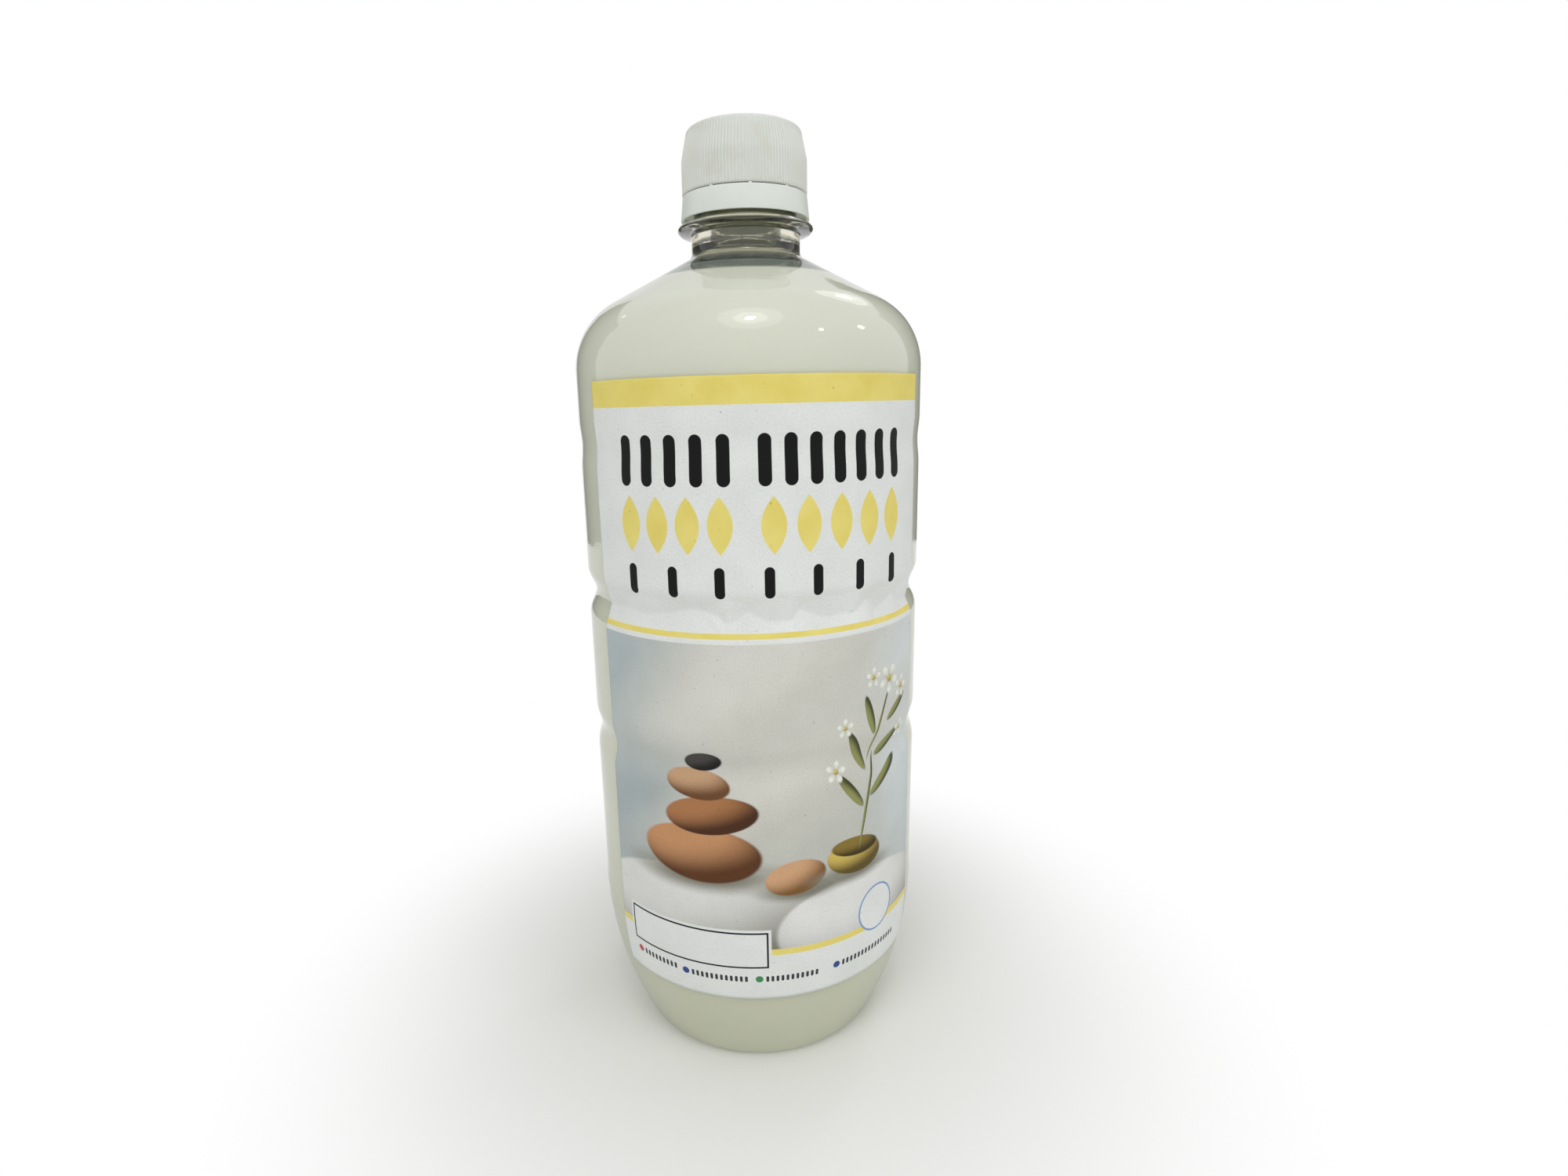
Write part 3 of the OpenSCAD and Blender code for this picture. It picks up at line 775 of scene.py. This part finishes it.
# Groups that the print is made of: a row of bars or leaves, a soft oval and a flower
def shapeGroups():
    number, vector = "NodeSocketFloat", "NodeSocketVector"
    shaded = [("Mask", number), ("Shade", number)]
    names = ("U", "Z", "First", "Pitch", "Count", "Middle", "Height", "Width", "Leaf")
    rowTree, start, end = newGroup("ShaderNodeTree", "printed row", [(n, number) for n in names], shaded[:1])
    i, do = start.outputs, partial(calc, rowTree)
    place = do("DIVIDE", do("SUBTRACT", i["U"], i["First"]), i["Pitch"])
    centred = do("SUBTRACT", do("FRACT", place), 0.5)
    side = do("ABSOLUTE", do("MULTIPLY", centred, i["Pitch"]))
    up = do("ABSOLUTE", do("SUBTRACT", i["Z"], i["Middle"]))
    halfW = do("MULTIPLY", i["Width"], 0.5)
    halfH = do("MULTIPLY", i["Height"], 0.5)
    past = do("MAXIMUM", do("SUBTRACT", up, do("SUBTRACT", halfH, halfW)), 0)
    corner = addNode(rowTree, "ShaderNodeCombineXYZ", (side, past)).outputs[0]
    barReach = do("DIVIDE", vectorCalc(rowTree, "LENGTH", corner), halfW)
    rise = do("POWER", do("DIVIDE", up, halfH), 2)
    leafReach = do("ADD", do("DIVIDE", side, halfW), rise)
    either = {0: i["Leaf"], 2: barReach, 3: leafReach}
    reach = addNode(rowTree, "ShaderNodeMix", either, data_type="FLOAT").outputs[0]
    within = do("MULTIPLY", do("GREATER_THAN", place, 0), do("LESS_THAN", place, i["Count"]))
    mask = do("MULTIPLY", ranged(rowTree, reach, strokes["rowEdge"]), within)
    rowTree.links.new(mask, end.inputs["Mask"])

    inputs = [("Spot", vector), ("Centre", vector)]
    names = ("Radius U", "Radius Z", "Turn", "Softness")
    ovalTree, start, end = newGroup("ShaderNodeTree", "soft oval", inputs + [(n, number) for n in names], shaded)
    i, do = start.outputs, partial(calc, ovalTree)
    away = vectorCalc(ovalTree, "SUBTRACT", i["Spot"], i["Centre"])
    turned = addNode(ovalTree, "ShaderNodeVectorRotate", {
        "Vector": away, "Angle": i["Turn"],
    }, rotation_type="Z_AXIS", invert=True).outputs[0]
    radii = addNode(ovalTree, "ShaderNodeCombineXYZ", (i["Radius U"], i["Radius Z"], 1)).outputs[0]
    unit = vectorCalc(ovalTree, "DIVIDE", turned, radii)
    reach = vectorCalc(ovalTree, "LENGTH", unit)
    span = (do("ADD", 1, i["Softness"]), do("SUBTRACT", 1, i["Softness"]))
    mask = ranged(ovalTree, reach, span, interpolation_type="SMOOTHSTEP")
    # Shaded as a ball: the third axis is how far it would bulge towards the eye
    bulge = do("MAXIMUM", do("SUBTRACT", 1, do("POWER", reach, 2)), 0)
    side = vectorCalc(ovalTree, "DOT_PRODUCT", unit, strokes["light"])
    lit = do("MULTIPLY_ADD", do("SQRT", bulge), strokes["bulge"], side)
    shade = ranged(ovalTree, lit, strokes["lit"], interpolation_type="SMOOTHSTEP")
    ovalTree.links.new(mask, end.inputs["Mask"])
    ovalTree.links.new(shade, end.inputs["Shade"])

    flowerTree, start, end = newGroup("ShaderNodeTree", "five petals", inputs + [("Size", number)], shaded)
    i, do = start.outputs, partial(calc, flowerTree)
    away = vectorCalc(flowerTree, "SUBTRACT", i["Spot"], i["Centre"])
    reach = do("DIVIDE", vectorCalc(flowerTree, "LENGTH", away), i["Size"])
    axes = addNode(flowerTree, "ShaderNodeSeparateXYZ", (away,)).outputs
    angle = do("ARCTAN2", axes[1], axes[0])
    # The size also turns the flower, so no two stand alike
    lobe = do("COSINE", do("MULTIPLY_ADD", angle, strokes["petals"] / 2, i["Size"]))
    lobe = do("ABSOLUTE", lobe)
    edge = do("MULTIPLY_ADD", lobe, strokes["petalLength"], strokes["petalRoot"])
    ratio = do("DIVIDE", reach, edge)
    mask = ranged(flowerTree, ratio, strokes["petalEdge"], interpolation_type="SMOOTHSTEP")
    shade = do("MULTIPLY", ranged(flowerTree, reach, strokes["petalLit"]), lobe)
    flowerTree.links.new(mask, end.inputs["Mask"])
    flowerTree.links.new(shade, end.inputs["Shade"])
    return rowTree, ovalTree, flowerTree


# Coated label paper: matt white stock with a faint fibre, flat inks, and a soft printed picture field
def printedPaper():
    material, tree = newMaterial("printed coated paper")
    do = partial(calc, tree)
    rowTree, ovalTree, flowerTree = shapeGroups()
    uv = addNode(tree, "ShaderNodeUVMap", uv_map="sheet").outputs[0]
    size = (label["width"], label["high"] - label["low"], 0)
    start = (-label["width"] / 2, label["low"], 0)
    spot = vectorCalc(tree, "MULTIPLY_ADD", uv, size, start)
    axes = addNode(tree, "ShaderNodeSeparateXYZ", (spot,)).outputs
    fibre = {"Vector": spot, "Scale": 2.2, "Detail": 4, "Roughness": 0.65}
    fibre = addNode(tree, "ShaderNodeTexNoise", fibre).outputs[0]
    blotch = addNode(tree, "ShaderNodeTexNoise", {"Vector": spot, "Scale": 0.12, "Detail": 3}).outputs[0]

    def over(base, top, mask):
        return mixed(tree, mask, base, colour(top) if isinstance(top, str) else top)

    def between(socket, low, high):
        blur = 0.06
        above = ranged(tree, socket, (low - blur, low + blur))
        return do("MULTIPLY", above, ranged(tree, socket, (high + blur, high - blur)))

    def oval(u, z, radiusU, radiusZ, degrees, softness):
        return addNode(tree, "ShaderNodeGroup", {
            "Spot": spot, "Centre": (u, z, 0), "Radius U": radiusU, "Radius Z": radiusZ,
            "Turn": math.radians(degrees), "Softness": softness,
        }, node_tree=ovalTree)

    def flower(u, z, spread):
        values = {"Spot": spot, "Centre": (u, z, 0), "Size": spread}
        return addNode(tree, "ShaderNodeGroup", values, node_tree=flowerTree)

    # The picture field, from the back to the front
    scene = over(colour("#c3c4bb"), "#cfd0c9", ranged(tree, axes[1], (60, 112)))
    for *place, light, dark in pictureShapes:
        made = oval(*place)
        tone = over(colour(dark), light, made.outputs["Shade"])
        scene = over(scene, tone, made.outputs["Mask"])
    # Leaves, petals and flower centres are each gathered into one mask and one shade
    for made, light, dark in (
        ([oval(*leaf, 0.1) for leaf in sprigLeaves], "#93965a", "#41462a"),
        ([flower(*blossom) for blossom in blossoms], "#f0f1ea", "#c4c8b4"),
        ([oval(u, z, 0.22 * spread, 0.22 * spread, 0, 0.4) for u, z, spread in blossoms], "#d6c873", "#a08c3c"),
    ):
        mask = shade = None
        for shape in made:
            shown = shape.outputs["Mask"]
            lit = do("MULTIPLY", shown, shape.outputs["Shade"])
            mask = shown if mask is None else do("MAXIMUM", mask, shown)
            shade = lit if shade is None else do("MAXIMUM", shade, lit)
        scene = over(scene, over(colour(dark), light, shade), mask)

    printed = over(colour(inks["paper"]), scene, between(axes[1], *rules["picture"]))
    mottle = ranged(tree, do("ADD", blotch, fibre), (0.6, 1.4))
    goldTone = over(colour(inks["gold"]), inks["goldDark"], mottle)
    for name in ("top", "upper", "lower"):
        printed = over(printed, goldTone, between(axes[1], *rules[name]))
    for first, pitch, count, middle, height, width, ink, kind in printRows:
        row = addNode(tree, "ShaderNodeGroup", {
            "U": axes[0], "Z": axes[1], "First": first, "Pitch": pitch, "Count": count,
            "Middle": middle, "Height": height, "Width": width, "Leaf": float(kind == "leaf"),
        }, node_tree=rowTree)
        printed = over(printed, goldTone if ink == "gold" else inks[ink], row.outputs[0])

    # The bare plate and the bare badge
    p = plate
    for grow, ink in ((p["inset"], inks["paper"]), (0, inks["black"]), (-p["frame"], inks["paper"])):
        across = between(axes[0], p["left"] - grow, p["right"] + grow)
        upright = between(axes[1], p["low"] - grow, p["high"] + grow)
        printed = over(printed, ink, do("MULTIPLY", across, upright))
    for r, ink in ((badge["r"], inks["badgeRim"]), (badge["r"] - badge["rim"], inks["paper"])):
        printed = over(printed, ink, oval(badge["u"], badge["z"], r, r, 0, badge["soft"]).outputs["Mask"])

    # Paper fibre, fine dust specks and a faint unevenness over everything
    dust = addNode(tree, "ShaderNodeTexNoise", {"Vector": spot, "Scale": 0.9, "Detail": 2}).outputs[0]
    grain = do("MULTIPLY", ranged(tree, fibre, (0.3, 0.7), (0.9, 1.04)), ranged(tree, dust, (0.7, 0.78), (1, 0.7)))
    uneven = ranged(tree, blotch, (0.3, 0.7), (0.96, 1.02))
    tone = mixed(tree, 1, printed, do("MULTIPLY", grain, uneven), "MULTIPLY")
    bump = addNode(tree, "ShaderNodeBump", {"Strength": 0.2, "Distance": 0.04 * mm, "Height": fibre}).outputs[0]
    shader = addNode(tree, "ShaderNodeBsdfPrincipled", {
        "Base Color": tone, "Roughness": 0.55, "IOR": 1.45, "Specular IOR Level": 0.2, "Normal": bump,
    })
    finishMaterial(tree, shader)
    return material


def dress(piece, material, body, slotName, *nodes):
    piece.data.materials.clear()
    piece.data.materials.append(material)
    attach(piece, body)
    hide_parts(*nodes)


capWhite = mouldedWhite("moulded white polyethylene cap", "#daddd7", "#cdcbba", 0.42)
bandWhite = mouldedWhite("moulded white polyethylene band", "#e0e5df", "#d5d8ce", 0.35)

dress(makeBottle(), clearPet(), "bottle", "clear_pet", "bottle")
print("bottle made")
dress(makeLiquid(), pearlySoap(), "bottle", "soap", "liquid_soap")
print("liquid made")
dress(makeCap(capWhite), capWhite, "cap", "cap_white", "screw_cap")
print("cap made")
dress(makeBand(bandWhite), bandWhite, "bottle", "band_white", "tamper_band")
print("band made")
dress(makeLiner(), linerFoam(), "liner", "liner_white", "cap_liner")
print("liner made")
dress(makeLabel(), printedPaper(), "bottle", "label_paper", "paper_label")
print("label made")


# Floor, light and background

studio = dict(
    floorR=12.0, fadeFrom=0.045, fadeTo=0.15, floor="#f3f3f1", background=1.0, ambient=0.55, aimZ=0.14,
    # Soft lamps light the bottle and aren't mirrored in it: place, size and power, in metres and watts
    softLamps=(
        ("key", (-0.7, -1.0, 1.1), 0.9, 4.5),
        ("fill", (0.9, -0.8, 0.7), 0.8, 2.5),
    ),
    # Ceiling lamps that show as glints on the shoulder
    glints=(
        ("front ceiling lamp", (-0.018, -0.562, 1.263), 0.7, 1.3),
        ("front shade", (-0.018, -0.557, 1.253), 0.36, 0.55),
        ("front bulb", (-0.018, -0.552, 1.243), 0.1, 0.3),
        ("rear ceiling lamp", (0.563, 0.6, 1.05), 0.36, 0.35),
        ("rear bulb", (0.556, 0.593, 1.037), 0.12, 0.25),
        ("small bulb right", (0.717, -0.605, 0.969), 0.07, 0.12),
        ("small bulb far right", (0.99, -0.068, 0.888), 0.08, 0.14),
        ("small bulb left", (-0.728, 0.591, 0.94), 0.05, 0.02),
    ),
    # Two grey screens behind the bottle, left and right, give its clear edges their darker line
    screenR=0.75, screenAngle=42, screenW=0.55, screenLow=0.005, screenH=0.72, screenGrey="#84857c",
)


# 1 for rays from the camera, mirrored ones and those through the clear wall, or else 0
def seenRays(tree):
    path = addNode(tree, "ShaderNodeLightPath").outputs
    seen = calc(tree, "MAXIMUM", path["Is Camera Ray"], path["Is Glossy Ray"])
    return calc(tree, "MAXIMUM", seen, path["Is Transmission Ray"])


def makeFloor():
    r = studio["floorR"]
    floor = newMesh("floor", [(-r, -r, 0), (r, -r, 0), (r, r, 0), (-r, r, 0)], [(0, 1, 2, 3)])
    material, tree = newMaterial("pale studio floor")
    spot = addNode(tree, "ShaderNodeTexCoord").outputs["Object"]
    away = vectorCalc(tree, "LENGTH", spot)
    far = ranged(tree, away, (studio["fadeFrom"], studio["fadeTo"]), interpolation_type="SMOOTHSTEP")
    share = calc(tree, "MULTIPLY", far, seenRays(tree))
    matt = addNode(tree, "ShaderNodeBsdfDiffuse", {"Color": colour(studio["floor"])})
    glow = addNode(tree, "ShaderNodeEmission", {"Color": (1, 1, 1, 1), "Strength": studio["background"]})
    finishMaterial(tree, addNode(tree, "ShaderNodeMixShader", (share, matt.outputs[0], glow.outputs[0])))
    floor.data.materials.append(material)


def makeWorld():
    world = bpy.data.worlds.new("studio")
    bpy.context.scene.world = world
    world.use_nodes = True
    tree = world.node_tree
    tree.nodes.clear()
    strength = ranged(tree, seenRays(tree), (0, 1), (studio["ambient"], studio["background"]))
    sky = addNode(tree, "ShaderNodeBackground", {"Color": (1, 1, 1, 1), "Strength": strength})
    addNode(tree, "ShaderNodeOutputWorld", {"Surface": sky.outputs[0]})


def makeLamps():
    target = Vector((0, 0, studio["aimZ"]))
    for mirrored, lamps in ((False, studio["softLamps"]), (True, studio["glints"])):
        for name, place, size, power in lamps:
            lamp = bpy.data.lights.new(name, "AREA")
            lamp.shape = "DISK"
            lamp.size = size
            lamp.energy = power
            holder = newObject(name, lamp)
            holder.location = place
            holder.rotation_euler = (target - Vector(place)).to_track_quat("-Z", "Y").to_euler()
            holder.visible_glossy = mirrored
            holder.visible_transmission = mirrored


def makeScreens():
    s = studio
    material, tree = newMaterial("grey cloth screen")
    finishMaterial(tree, addNode(tree, "ShaderNodeEmission", {"Color": colour(s["screenGrey"]), "Strength": 1.0}))
    for name, side in (("left screen", -1), ("right screen", 1)):
        w, low, high = s["screenW"] / 2, s["screenLow"], s["screenH"]
        screen = newMesh(name, [(-w, 0, low), (w, 0, low), (w, 0, high), (-w, 0, high)], [(0, 1, 2, 3)])
        screen.data.materials.append(material)
        angle = math.radians(s["screenAngle"]) * side
        screen.location = (math.sin(angle) * s["screenR"], math.cos(angle) * s["screenR"], 0)
        screen.rotation_euler = (0, 0, -angle)
        screen.visible_camera = False
        screen.visible_diffuse = False
        screen.visible_shadow = False


makeFloor()
makeWorld()
makeLamps()
makeScreens()
bpy.context.scene.view_settings.view_transform = "Standard"
print("studio made")
